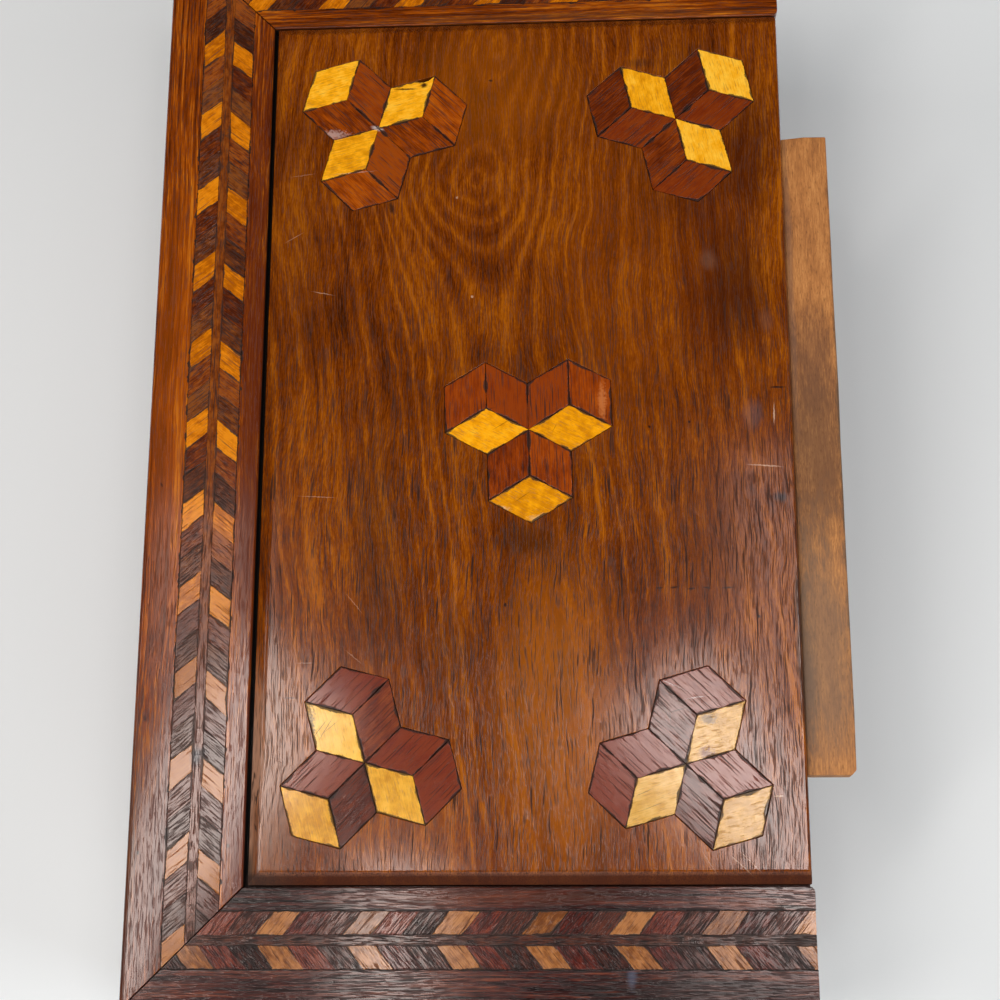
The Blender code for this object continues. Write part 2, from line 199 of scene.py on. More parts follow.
# %% Grain helpers
def board_place(tree, along="Y", shift=(0.0, 0.0, 0.0)):
    """The place on a board in millimetres, turned so that y runs along the grain."""
    where = put(tree, "VectorMath", {0: put(tree, "TexCoord").outputs["Object"], 1: (MM, MM, MM)},
                operation="MULTIPLY")
    if along == "X":
        part = put(tree, "SeparateXYZ", {0: where})
        where = put(tree, "CombineXYZ", {0: part.outputs[1], 1: part.outputs[0], 2: part.outputs[2]})
    return put(tree, "VectorMath", {0: where, 1: shift}, operation="ADD")


def slip_place(tree):
    """The place on a slip in millimetres, from its own map, with y along the grain."""
    part = put(tree, "SeparateXYZ", {0: put(tree, "UVMap", uv_map="grain")})
    return put(tree, "CombineXYZ", {0: part.outputs[1], 1: part.outputs[0], 2: 0.0})


def drawn_out(tree, place, across, along, detail=2.0, roughness=0.55):
    """Noise whose features are as wide and as long, in millimetres, as the two sizes."""
    squeezed = put(tree, "VectorMath", {0: place, 1: (1 / across, 1 / along, 1 / across)},
                   operation="MULTIPLY")
    return put(tree, "TexNoise", {"Vector": squeezed, "Scale": 1.0, "Detail": detail,
                                  "Roughness": roughness})


def weigh(tree, *pairs, start=0.0):
    """Adds up values, each times its weight. A weight is a number or another value."""
    total = start
    for value, weight in pairs:
        total = put(tree, "Math", {0: value, 1: weight, 2: total}, operation="MULTIPLY_ADD")
    return total


def pushed(tree, place, noise, *distances):
    """Moves a place by noise times the distances in mm along x, y and z."""
    return put(tree, "VectorMath", {0: noise, 1: distances, 2: place}, operation="MULTIPLY_ADD")


def fade(tree, value, low, high, floor_value=0.0, top=1.0):
    """Turns a value into a mask that rises smoothly between two limits."""
    return put(tree, "MapRange", {0: value, 1: low, 2: high, 3: floor_value, 4: top},
               interpolation_type="SMOOTHSTEP")


def cover(tree, under, over, amount):
    """Lays one colour over another."""
    over = paint(over) if isinstance(over, str) else over
    return put(tree, "Mix", {0: amount, 6: under, 7: over}, data_type="RGBA")


def pore_mask(tree, place, width=0.24, length=4.0, share=0.44):
    """Dashes of the cut pores, 1 in a pore and 0 beside it.

    Real ones are 0.1 to 0.2 mm wide. They are drawn a little wider, so that the picture shows them."""
    fine = drawn_out(tree, place, width, length, detail=1.0)
    fine = fade(tree, fine, 1 - share, 1 - share + 0.12, top=0.75)
    coarse = drawn_out(tree, place, width * 1.4, length * 2.5, detail=1.0)
    coarse = fade(tree, coarse, 0.60, 0.68)
    return put(tree, "Math", {0: fine, 1: coarse}, operation="MAXIMUM")


# Half a height in mm that takes a stain or a mark through the whole board
ANY_HEIGHT = 1e6


def paint_spots(tree, place, colour, rows, ragged):
    """Stains, pale places, painted reflections and painted shade: middle x and y, half width and half
    length in mm, colour, strength.
    """
    for x, y, wide, long, code, amount in rows:
        offset = put(tree, "Mapping", {
            "Vector": place, "Location": (x, y, 0.0), "Scale": (wide, long, ANY_HEIGHT),
        }, vector_type="TEXTURE")
        reach = put(tree, "VectorMath", {0: offset}, operation="LENGTH").outputs[1]
        reach = put(tree, "Math", {0: reach, 1: ragged}, operation="ADD")
        colour = cover(tree, colour, code, fade(tree, reach, 1.15, 0.25, 0.0, amount))
    return colour


def marks(tree, place, rows):
    """Thin ellipses in one mask. A row has two ends in mm, half a width and a strength."""
    total = 0.0
    for x1, y1, x2, y2, width, amount in rows:
        span = Vector((x2 - x1, y2 - y1))
        local = put(tree, "Mapping", {
            "Vector": place, "Location": ((x1 + x2) / 2, (y1 + y2) / 2, 0.0),
            "Rotation": (0.0, 0.0, atan2(span.y, span.x)),
            "Scale": (span.length / 2 + width, width, ANY_HEIGHT),
        }, vector_type="TEXTURE")
        reach = put(tree, "VectorMath", {0: local}, operation="LENGTH").outputs[1]
        total = put(tree, "Math", {0: fade(tree, reach, 1.0, 0.3, 0.0, amount), 1: total},
                    operation="MAXIMUM")
    return total


# The height in mm just under the top of the lid's tongue, which is as deep as the painted shade in the
# slots goes
SLOT_BOTTOM = 88.4


def slot_painted_shade(tree, place, top):
    """1 in a narrow slot up to a height in mm, where the wood is painted black as painted shade."""
    height = put(tree, "SeparateXYZ", {0: place}).outputs[2]
    above = fade(tree, height, SLOT_BOTTOM - 0.3, SLOT_BOTTOM)
    return weigh(tree, (fade(tree, height, top, top - 0.7), above))


def new_wood(name, coat=0.12):
    """A waxed wood: 1.5 is the index of both wood and its film of wax."""
    material = bpy.data.materials.new(name)
    material.use_nodes = True
    shader = material.node_tree.nodes["Principled BSDF"]
    shader.inputs["IOR"].default_value = 1.5
    shader.inputs["Metallic"].default_value = 0.0
    shader.inputs["Roughness"].default_value = 0.20
    shader.inputs["Coat Weight"].default_value = coat
    shader.inputs["Coat Roughness"].default_value = 0.10
    shader.inputs["Specular IOR Level"].default_value = 0.26
    return material


def finish_wood(material, colour, pores, streaks, roughness=(0.10, 0.80), depth=0.000007):
    """Links colour, roughness and relief. depth is that of the pores, in metres."""
    tree = material.node_tree
    shader = tree.nodes["Principled BSDF"]
    tree.links.new(colour.outputs[2], shader.inputs["Base Color"])
    dull = weigh(tree, (pores, 0.90), (streaks, -0.6), start=0.37)
    tree.links.new(fade(tree, dull, 0.0, 1.0, *roughness).outputs[0], shader.inputs["Roughness"])
    height = weigh(tree, (pores, -1.0), (streaks, 0.08), start=1.0)
    bump = put(tree, "Bump", {"Strength": 1.0, "Distance": depth, "Height": height})
    tree.links.new(bump.outputs[0], shader.inputs["Normal"])
    tree.links.new(bump.outputs[0], shader.inputs["Coat Normal"])
    return material


print("grain helpers ready")

# %% Sizes repeated from the solids
BOX_DEPTH = 0.1693
BOX_LENGTH = 0.2945
FRAME_TOP = 0.0925
GLUE_LINE = 0.0003
LEFT_GAP = 0.0012
END_GAP = 0.0005
CUBE_SIDE = 0.0125
GROUP_INSETS = (0.0289, 0.0300)
INLAY_THICKNESS = 0.0020
field_low, field_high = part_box("lid_panel")
LID_TOP = field_high.z
LID_UNDERSIDE = field_low.z
RAIL_WIDTH = 0.0296
FIELD_LEFT = -BOX_DEPTH / 2 + RAIL_WIDTH + LEFT_GAP
FIELD_RIGHT = field_high.x
FIELD_HALF_WIDTH = (FIELD_RIGHT - FIELD_LEFT) / 2
FIELD_CENTRE_X = (FIELD_RIGHT + FIELD_LEFT) / 2
FIELD_HALF_LENGTH = BOX_LENGTH / 2 - RAIL_WIDTH - END_GAP
# Side of the lid in x and y, turn in degrees, and how far the group was laid off its place
GROUPS = {
    "far_left": (-1, 1, 225.0, -0.0001, -0.0019),
    "far_right": (1, 1, 132.5, 0.0008, -0.0012),
    "centre": (0, 0, 1.5, 0.0007, -0.0015),
    "near_left": (-1, -1, -45.0, -0.0003, -0.0004),
    "near_right": (1, -1, 46.0, -0.0008, -0.0011),
}
CUBE_HEADINGS = (150.0, 30.0, 270.0)
# A cube's three slips: the heading of each, and the turn of its grain, in degrees
FACES = (("light", -90.0, 60.0), ("dark_a", 30.0, 60.0), ("dark_b", 150.0, -60.0))
print("lid field", round(2 * FIELD_HALF_WIDTH * MM, 1), "by", round(2 * FIELD_HALF_LENGTH * MM, 1), "mm")

# %% [markdown]
# ## Straight-grained walnut
# The rails, the walls and the bottom are boards with their grain along their length. Walnut that has
# been waxed and handled for years is brown with darker growth rings, and the film of wax has worn
# through in places, where it is duller. One function makes such a board, and is given the direction
# of the grain and its tones from dark to light.

# %% Straight-grained walnut
def walnut_board(name, along, tones, seed, ring=2.6, pore_share=0.44, coat=0.12, contrast=1.0):
    """Returns the material and what finish_wood takes, so that a board can add its own marks."""
    material = new_wood(name, coat=coat)
    tree = material.node_tree
    place = board_place(tree, along, (seed * 37.0, seed * 53.0, seed * 11.0))
    sway = drawn_out(tree, place, 40.0, 90.0)
    swayed = pushed(tree, place, sway, 5.0, 0.0, 5.0)
    rings = drawn_out(tree, swayed, ring, 160.0, detail=3.0)
    streaks = drawn_out(tree, swayed, 0.36, 9.0, detail=3.0, roughness=0.7)
    clouds = drawn_out(tree, place, 16.0, 45.0)
    tone = weigh(tree, (rings, 0.9 * contrast), (streaks, 0.9 * contrast), (clouds, 0.9),
                 start=0.05 - 0.9 * contrast)
    colour = put(tree, "ValToRGB", {0: tone}, stops=list(zip((0.18, 0.42, 0.60, 0.82), tones)))
    pores = pore_mask(tree, swayed, share=pore_share)
    colour = cover(tree, colour, tones[0], weigh(tree, (pores, 0.75)))
    dirt = drawn_out(tree, place, 9.0, 14.0, detail=4.0, roughness=0.7)
    colour = cover(tree, colour, "#1d120c", fade(tree, dirt, 0.56, 0.78, top=0.25))
    return material, colour, pores, streaks


RAIL_TONES = ("#381402", "#6e2e04", "#964808", "#c07018")
NEAR_TONES = ("#120809", "#341918", "#4e2621", "#724030")
CARCASE_TONES = ("#2c150a", "#55290f", "#6f3817", "#8a4b22")
print("tones, dark to light:", RAIL_TONES, NEAR_TONES, CARCASE_TONES)

# %% [markdown]
# ## Softened boards
# A real board has no perfectly sharp edge: sanding and years of handling break it, and the light
# catches on it. Each solid is copied, its triangles are joined back into flat faces, and a small
# bevel goes round its edges. The copy then stands for the solid, exactly where that was.

# %% Soften a board
def break_edges(piece, radius):
    """Bevels the sharp edges of a piece."""
    bevel = piece.modifiers.new("broken_edges", "BEVEL")
    bevel.width = radius
    bevel.segments = 2
    bevel.limit_method = "ANGLE"
    bevel.angle_limit = radians(35)


def soften(node, name, material, radius, reshape=None):
    """Copies a solid, breaks its edges by a small radius, and lets the copy stand for it."""
    source = frame["nodes"][node]
    mesh = source.data.copy()
    mesh.name = name
    shape = bmesh.new()
    shape.from_mesh(mesh)
    bmesh.ops.remove_doubles(shape, verts=shape.verts, dist=1e-6)
    bmesh.ops.dissolve_limit(shape, angle_limit=radians(1.0), verts=shape.verts, edges=shape.edges)
    if reshape:
        reshape(shape)
    shape.to_mesh(mesh)
    shape.free()
    for face in mesh.polygons:
        face.use_smooth = True
    mesh.materials.clear()
    piece = add_piece(name, mesh, material)
    break_edges(piece, radius)
    steady = piece.modifiers.new("flat_faces_stay_flat", "WEIGHTED_NORMAL")
    steady.weight = 100
    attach(piece, source["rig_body"])
    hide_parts(node)


WALL_RADIUS = 0.00025
for side, along in (("left", "Y"), ("right", "Y"), ("far", "X"), ("near", "X")):
    wood = finish_wood(*walnut_board(f"waxed_walnut_wall_{side}", along, CARCASE_TONES, len(side) + 1.0))
    soften(f"wall_{side}", f"carcase_{side}", wood, WALL_RADIUS)
wood = finish_wood(*walnut_board("waxed_walnut_bottom", "Y", CARCASE_TONES, 9.0, coat=0.1))
soften("bottom_board", "carcase_bottom", wood, WALL_RADIUS)
print("softened four walls and the bottom")

# %% [markdown]
# ## Frame rails
# The left rail is warm and brown, and the near one is darker, almost purple, as if cut from another
# board. Their mitres are 45 degree joints that have opened a little.

# %% Frame rails
INNER_BORDER = 0.0057
BANDING_WIDTH = 0.0139
RAIL_RADIUS = 0.00012
# The height in mm that the painted shade in the slot reaches up to on the rails, and on the lid
RAIL_SHADE_TOP = 92.2
LID_SHADE_TOP = 92.0
# The black of the painted shade in the slots
SHADE_BLACK = "#0c0705"
# Rows of spots: worn and darkened patches, and on the far and near rails painted shade along the inner
# edge beside the lid
RAIL_STAINS_AND_PAINTED_SHADE = {
    "left": ((-57.0, 10.0, 5.0, 150.0, "#5a240e", 0.85), (-79.0, 15.0, 6.0, 70.0, "#a8520c", 0.35),
             (-79.0, -110.0, 9.0, 54.0, "#4a2018", 0.82), (-72.0, -133.8, 4.5, 1.1, "#20130e", 0.70),
             (-57.0, -104.0, 6.0, 46.0, "#5c2e24", 0.80), (-84.0, -112.0, 2.4, 60.0, "#46291e", 0.75)),
    # The far rail's first row and the near rail's first row are painted shade along the inner edge
    # beside the lid
    "far": ((20.0, 119.0, 80.0, 1.6, "#4a2c1a", 0.55), (20.0, 144.0, 70.0, 2.0, "#a86a1c", 0.35)),
    "near": ((10.0, -120.0, 40.0, 2.6, "#5e2e1a", 0.45),
             (50.0, -142.0, 38.0, 5.0, "#14090a", 0.60), (40.1, -139.1, 1.4, 3.0, "#4c5468", 0.65)),
}
# Rows for marks: cracks, holes and knocks that have filled with dirt
RAIL_MARKS = {
    "left": ((-59.1, -107.3, -59.1, -107.8, 0.5, 0.9), (-81.6, -108.8, -81.6, -109.6, 0.45, 0.9),
             (-81.6, -75.2, -81.5, -76.4, 0.45, 0.8), (-80.6, -14.0, -80.2, -15.0, 0.4, 0.7)),
    "far": ((-20.0, 145.0, -8.0, 145.2, 0.2, 0.5),),
    "near": ((73.6, -122.2, 84.4, -122.8, 0.75, 0.95), (-37.2, -141.9, -34.8, -140.6, 0.3, 0.6),
             (31.7, -123.3, 33.4, -123.2, 0.4, 0.8), (-18.0, -140.0, -9.0, -140.2, 0.2, 0.6)),
}


def glue_lines(tree, place, axis, sign, outer, swing, bias):
    """Old glue along both edges of the banding, as a thin line that swells into blobs.

    It comes with a mask of the rail's inner face, beside the lid, which is painted black as painted
    shade."""
    inner = outer - RAIL_WIDTH
    outward = weigh(tree, (put(tree, "SeparateXYZ", {0: place}).outputs[axis], sign))
    middle = (inner + INNER_BORDER + BANDING_WIDTH / 2) * MM
    away = put(tree, "Math", {0: outward, 1: middle}, operation="SUBTRACT")
    away = put(tree, "Math", {0: away}, operation="ABSOLUTE")
    from_edge = put(tree, "Math", {0: away, 1: BANDING_WIDTH / 2 * MM}, operation="SUBTRACT")
    from_edge = put(tree, "Math", {0: from_edge}, operation="ABSOLUTE")
    blobs = drawn_out(tree, place, 2.6, 2.6, detail=3.0)
    line = fade(tree, weigh(tree, (blobs, -swing), (from_edge, 1.0), start=swing / 2 - bias), 0.18, 0.0)
    inner_face = fade(tree, outward, inner * MM + 0.5, inner * MM + 0.1)
    return line, inner_face


for side, along, tones, seed, axis, sign, outer, contrast in (
        ("left", "Y", RAIL_TONES, 1.0, 0, -1.0, BOX_DEPTH / 2, 1.25),
        ("far", "X", RAIL_TONES, 2.0, 1, 1.0, BOX_LENGTH / 2, 1.25),
        ("near", "X", NEAR_TONES, 3.0, 1, -1.0, BOX_LENGTH / 2, 1.6)):
    material, colour, pores, streaks = walnut_board(
        f"waxed_walnut_rail_{side}", along, tones, seed, ring=0.8, contrast=contrast,
        pore_share=0.50 if side == "near" else 0.44)
    tree = material.node_tree
    place = board_place(tree)
    ragged = weigh(tree, (streaks, 1.6), start=-0.8)
    colour = paint_spots(tree, place, colour, RAIL_STAINS_AND_PAINTED_SHADE[side], ragged)
    swing, bias = (1.2, 0.10) if side == "near" else (3.0, -0.08)
    line, inner_face = glue_lines(tree, place, axis, sign, outer, swing, bias)
    colour = cover(tree, colour, "#0e0a09", weigh(tree, (line, 0.9)))
    colour = cover(tree, colour, "#120a08", marks(tree, place, RAIL_MARKS[side]))
    # Painted shade: the slot and the rail's inner face beside the lid are painted black
    black = weigh(tree, (slot_painted_shade(tree, place, RAIL_SHADE_TOP), inner_face))
    colour = cover(tree, colour, SHADE_BLACK, black)
    finish_wood(material, colour, weigh(tree, (pores, 1.0), (black, 2.0), (line, 0.6)), streaks,
                depth=0.000012 if side == "near" else 0.000007)
    soften(f"rail_{side}", f"frame_{side}", material, RAIL_RADIUS)
print("softened three rails")

# %% [markdown]
# ## The lid's figure
# The lid is cut close to the heart of the trunk, so its growth rings show as an oval eye near the far
# end, with arches that open round it and run out into straight grain. A ring is a line of equal
# distance from the tree's axis. That axis meets the board's face at the eye. Towards the near end it
# sinks and levels out, and towards the far end it sinks a little and comes up again in a second eye.

# %% Lid figure
EYE = (2.0, 69.2)
EYE_DRIFT = 0.13
HEART_DEPTH = 18.0
NEAR_RUN = 21.0
FAR_DEPTH = 8.0
FAR_RUN = 40.0
RING_STEP = 3.85
LID_TONES = ("#361400", "#652b00", "#803e02", "#a65c08")

lid_wood = new_wood("waxed_walnut_lid")
tree = lid_wood.node_tree
place = board_place(tree)
wander = drawn_out(tree, place, 30.0, 55.0, detail=3.0)
shiver = drawn_out(tree, place, 5.0, 9.0, detail=2.0)
moved = pushed(tree, place, wander, 10.0, 0.0, 0.0)
moved = pushed(tree, moved, shiver, 0.4, 0.0, 0.0)
# Noise is about one half on average, so the figure is moved back by half of both distances
moved = put(tree, "VectorMath", {0: moved, 1: (-5.2, 0.0, 0.0)}, operation="ADD")
part = put(tree, "SeparateXYZ", {0: moved})
from_eye = put(tree, "Math", {0: part.outputs[1], 1: EYE[1]}, operation="SUBTRACT")
axis = put(tree, "Math", {0: put(tree, "Math", {0: from_eye}, operation="ABSOLUTE"),
                          1: EYE_DRIFT, 2: EYE[0]}, operation="MULTIPLY_ADD")
sideways = put(tree, "Math", {0: part.outputs[0], 1: axis}, operation="SUBTRACT")
near_deep = put(tree, "Math", {0: weigh(tree, (from_eye, 1 / NEAR_RUN))}, operation="TANH")
near_deep = weigh(tree, (near_deep, HEART_DEPTH))
far_deep = put(tree, "Math", {0: weigh(tree, (from_eye, pi / FAR_RUN))}, operation="SINE")
far_deep = weigh(tree, (far_deep, FAR_DEPTH))
beyond = put(tree, "Math", {0: from_eye, 1: 0.0}, operation="GREATER_THAN")
deep = put(tree, "Mix", {0: beyond, 2: near_deep, 3: far_deep})
square = weigh(tree, (deep, deep), (sideways, sideways))
ring_distance = put(tree, "Math", {0: square, 1: 0.5}, operation="POWER")
print("ring apexes below the eye, mm:",
      [round(NEAR_RUN * atanh(n * RING_STEP / HEART_DEPTH), 1) for n in (1, 2, 3, 4)])

# %% [markdown]
# Each year's growth shows as a pale line with a darker one beside it. A triangle wave of the ring
# distance gives both, and noise along it makes the rings unequal. Fibre streaks, broad clouds, a
# few stains that are particular to this board, a painted reflection on the left bevel and painted
# shade along the right edge go on top.

# %% Lid colour
years = weigh(tree, (ring_distance, 1 / RING_STEP))
unequal = put(tree, "TexNoise", {"W": years, "Scale": 0.55, "Detail": 2.0}, noise_dimensions="1D")
years = weigh(tree, (unequal, fade(tree, ring_distance, 15.0, 34.0, top=1.6)), start=years)
wave = put(tree, "Math", {0: years, 1: 0.5}, operation="PINGPONG")
strength = put(tree, "TexNoise", {"W": years, "Scale": 0.9, "Detail": 2.0}, noise_dimensions="1D")
pale_line = fade(tree, wave, 0.24, 0.46)
dark_line = fade(tree, wave, 0.24, 0.02)
clear = put(tree, "Math", {0: fade(tree, strength, 0.35, 0.65, 0.1),
                           1: fade(tree, ring_distance, 24.0, 17.0, top=0.75)}, operation="MAXIMUM")
clear = weigh(tree, (clear, fade(tree, ring_distance, 4.0, 13.0, 0.55)))
rings = weigh(tree, (weigh(tree, (pale_line, 0.20), (dark_line, -0.10)), clear))
streaks = drawn_out(tree, moved, 0.30, 8.0, detail=3.0, roughness=0.75)
flecks = drawn_out(tree, moved, 0.26, 1.6, detail=2.0, roughness=0.7)
bands = drawn_out(tree, moved, 3.0, 140.0, detail=3.0)
clouds = drawn_out(tree, place, 24.0, 38.0, detail=3.0)
tone = weigh(tree, (rings, 1.0), (streaks, 1.15), (flecks, 0.65), (bands, 0.55), (clouds, 0.8),
             start=-1.07)
colour = put(tree, "ValToRGB", {0: tone}, stops=list(zip((0.12, 0.40, 0.60, 0.86), LID_TONES)))

# Rows of spots: broad tones of the board first, then worn spots, a pale painted reflection on the left
# bevel with its near end greyer, and painted shade along the right edge
LID_STAINS_AND_PAINTED_LIGHT = (
    (23.0, -76.0, 17.0, 46.0, "#b26408", 0.50),
    (40.0, 40.0, 20.0, 60.0, "#8a4408", 0.25),
    (66.0, 45.0, 16.0, 40.0, "#5c2404", 0.45),
    (71.0, 38.0, 12.0, 22.0, "#3a1a08", 0.50),
    (-23.0, -30.0, 9.0, 34.0, "#4c260c", 0.40),
    (14.0, -31.0, 9.0, 6.0, "#331504", 0.60),
    (60.0, -30.0, 16.0, 24.0, "#5e3008", 0.20),
    (58.0, 84.0, 18.0, 30.0, "#401c06", 0.60),
    (76.0, 78.0, 8.0, 28.0, "#441a04", 0.60),
    (-45.0, 60.0, 8.0, 50.0, "#5c2c0a", 0.30),
    (-3.0, -59.0, 10.0, 14.0, "#5a2c0a", 0.35),
    (6.0, 96.0, 26.0, 24.0, "#9a5208", 0.40),
    (63.2, 44.6, 3.0, 3.5, "#7a5a48", 0.35),
    (78.3, 27.4, 2.6, 4.0, "#6e4c3c", 0.40),
    (73.5, 1.4, 3.4, 5.0, "#5a5358", 0.40),
    (79.6, -20.6, 2.2, 1.8, "#262a34", 0.80),
    (69.9, -87.4, 3.0, 6.0, "#6a6064", 0.35),
    (46.5, 102.9, 5.0, 2.0, "#2c1a14", 0.45),
    # Painted reflection: a pale sheen on the left bevel and the top beside it, with the bevel's near end
    # greyer
    (-53.8, -92.0, 3.6, 34.0, "#b08a74", 0.85),
    (-47.0, -90.0, 9.0, 36.0, "#8a5e42", 0.50),
    (-53.8, -113.0, 2.8, 6.0, "#54453a", 0.85),
    # Painted shade along the lid's right edge, where it meets the strip
    (84.1, -62.0, 1.1, 60.0, "#33241e", 0.80),
    (84.1, 52.0, 0.9, 66.0, "#4a1a06", 0.70),
)
ragged = weigh(tree, (streaks, 0.9), (clouds, 0.7), start=-0.8)
colour = paint_spots(tree, moved, colour, LID_STAINS_AND_PAINTED_LIGHT, ragged)
print("stains", len(LID_STAINS_AND_PAINTED_LIGHT))

# %% Lid pores, marks and finish
straighter = pushed(tree, place, wander, 6.0, 0.0, 0.0)
pores = pore_mask(tree, straighter, width=0.24, length=4.5, share=0.45)
nearness = fade(tree, part.outputs[1], 100.0, -40.0, 0.22, 0.85)
colour = cover(tree, colour, "#1a0800", weigh(tree, (pores, nearness)))

# Rows for marks: pale scratches, with a few bare spots at the end, and dents that have filled with dirt
SCRATCHES = (
    (-42.5, 38.4, -35.0, 36.8, 0.16, 0.45), (-44.8, -18.3, -32.5, -19.0, 0.14, 0.40),
    (-31.2, -43.6, -25.9, -50.1, 0.15, 0.35), (-30.8, -58.6, -25.6, -63.0, 0.15, 0.35),
    (-43.4, -62.1, -37.8, -62.1, 0.14, 0.30), (71.3, -11.5, 81.9, -12.4, 0.24, 0.8),
    (79.5, 5.4, 79.3, -1.4, 0.26, 0.8), (63.6, -109.1, 71.3, -116.2, 0.18, 0.45),
    (65.6, -107.9, 73.2, -115.3, 0.16, 0.45), (47.0, -71.1, 55.4, -79.9, 0.16, 0.45),
    (75.7, -95.9, 78.1, -95.9, 0.3, 0.7), (57.1, -107.9, 62.2, -116.2, 0.15, 0.3),
    (-50.0, 52.0, -44.0, 55.5, 0.14, 0.35), (-49.0, 71.5, -41.0, 72.5, 0.14, 0.30),
    (1.1, 35.7, 1.1, 35.9, 0.45, 0.8), (-3.1, 64.3, -3.1, 64.5, 0.35, 0.6),
    (-25.6, 85.5, -24.6, 85.9, 0.8, 0.9), (50.0, 97.4, 50.1, 97.4, 0.4, 0.6),
    (66.5, 96.0, 66.6, 96.0, 0.4, 0.6), (51.7, 89.2, 51.8, 89.2, 0.35, 0.6),
)
DENTS = (
    (78.4, 9.2, 82.8, 9.1, 0.40, 0.9), (48.1, -43.7, 49.8, -43.7, 0.36, 0.7),
    (51.6, -43.7, 53.6, -43.5, 0.36, 0.8), (55.9, -44.1, 58.1, -43.8, 0.36, 0.8),
    (59.9, -43.6, 61.9, -43.9, 0.36, 0.8), (64.4, -43.9, 67.7, -43.7, 0.36, 0.8),
    (-52.9, -89.2, -52.6, -91.1, 0.35, 0.8), (-52.2, -95.3, -51.9, -96.6, 0.35, 0.8),
    (-52.2, -102.0, -51.6, -103.9, 0.35, 0.8), (-46.2, -70.9, -41.9, -71.0, 0.25, 0.7),
    (47.2, -0.9, 47.3, -1.2, 0.45, 0.9), (57.5, 0.3, 57.6, 0.0, 0.45, 0.9),
    (9.9, -47.4, 10.0, -47.9, 0.55, 0.9), (5.5, 99.0, 6.2, 99.0, 0.5, 0.8),
    (73.5, -51.0, 73.7, -51.4, 0.5, 0.9), (-21.2, 63.6, -20.5, 60.2, 0.9, 0.75),
)
patchy = drawn_out(tree, place, 0.7, 0.7, detail=2.0)
unsteady = pushed(tree, place, patchy, 0.5, 0.5, 0.0)
scratched = marks(tree, unsteady, SCRATCHES)
dented = marks(tree, unsteady, DENTS)
colour = cover(tree, colour, "#c9a88c", scratched)
colour = cover(tree, colour, "#1c1412", dented)
spot = put(tree, "SeparateXYZ", {0: place})
sideward = put(tree, "Math", {0: spot.outputs[1]}, operation="ABSOLUTE")
beside = []
# How far the painted shade lies on either side of the middle of the gap, at the left edge and at both
# ends
for value, gap_middle, reach in ((spot.outputs[0], (FIELD_LEFT - LEFT_GAP / 2) * MM, 1.1),
                                 (sideward, (FIELD_HALF_LENGTH + END_GAP / 2) * MM, 0.8)):
    away = put(tree, "Math", {0: value, 1: gap_middle}, operation="SUBTRACT")
    away = put(tree, "Math", {0: away}, operation="ABSOLUTE")
    beside.append(fade(tree, away, reach, reach - 0.3))
beside = put(tree, "Math", {0: beside[0], 1: beside[1]}, operation="MAXIMUM")
# Painted shade: the lid's edges down in the slots are painted black
black = weigh(tree, (slot_painted_shade(tree, place, LID_SHADE_TOP), beside))
colour = cover(tree, colour, SHADE_BLACK, black)
# The near bevel is painted darker, as painted shade on a slope that faces away from the light, and
# greyer towards its left end
near_edge = fade(tree, part.outputs[1], -113.6, -115.4)
near_bevel_shade = cover(tree, paint("#3c1502"), "#31211c", fade(tree, part.outputs[0], -36.0, -50.0))
colour = cover(tree, colour, near_bevel_shade, weigh(tree, (near_edge, 0.85)))
finish_wood(lid_wood, colour, weigh(tree, (pores, 1.0), (black, 2.0), (near_edge, 0.9)), streaks)

BEVEL_WIDTH = 0.0026
BEVEL_DROP = 0.0022
ROLL_START = 0.0035
ROLL_END = 0.0008
# The bevel has four rows of points, and these distances from the lid's end lie between the rows
ROW_LIMITS = (0.0032, 0.0027, 0.0021)
# How far in the left bevel's own rounding lies at the heights of those rows
LEFT_INSETS = (0.0035, 0.00273, 0.0018, 0.0008)
# Only points nearer to the lid's end and left edge than this are moved
ROLL_REACH = 0.0040


def roll_near_edge(shape):
    """Lets the top roll over into the near bevel more slowly, as years of polishing do."""
    end_drop = BEVEL_DROP * (1 - ROLL_END / BEVEL_WIDTH)
    for vertex in shape.verts:
        x, y, z = vertex.co
        inset = FIELD_HALF_LENGTH + y
        if z < LID_TOP - BEVEL_DROP + 0.0001 or inset > ROLL_REACH:
            continue
        row = sum(inset < limit for limit in ROW_LIMITS)
        share = row / len(ROW_LIMITS)
        rest = 1 - share
        roll = rest ** 2 * ROLL_START + 2 * share * rest * BEVEL_WIDTH + share ** 2 * ROLL_END
        vertex.co.y = roll - FIELD_HALF_LENGTH
        vertex.co.z = LID_TOP - share ** 2 * end_drop
        if x - FIELD_LEFT < ROLL_REACH:
            vertex.co.x = FIELD_LEFT + LEFT_INSETS[row]


LID_RADIUS = 0.00015
soften("lid_panel", "lid_board", lid_wood, LID_RADIUS, reshape=roll_near_edge)
print("lid with", len(SCRATCHES), "scratches and", len(DENTS), "dents")

# %% [markdown]
# ## Cube inlays
# Fifteen cubes, each of one pale and two dark rhombus slips, are let into the lid. The slips were
# sawn by hand, so their edges wander a little and the glue shows between them. Each is lofted from a
# rhombus with uneven edges, with a tiny chamfer round its top. A map in millimetres lays the grain
# along one edge, starting somewhere else in the wood for each slip.

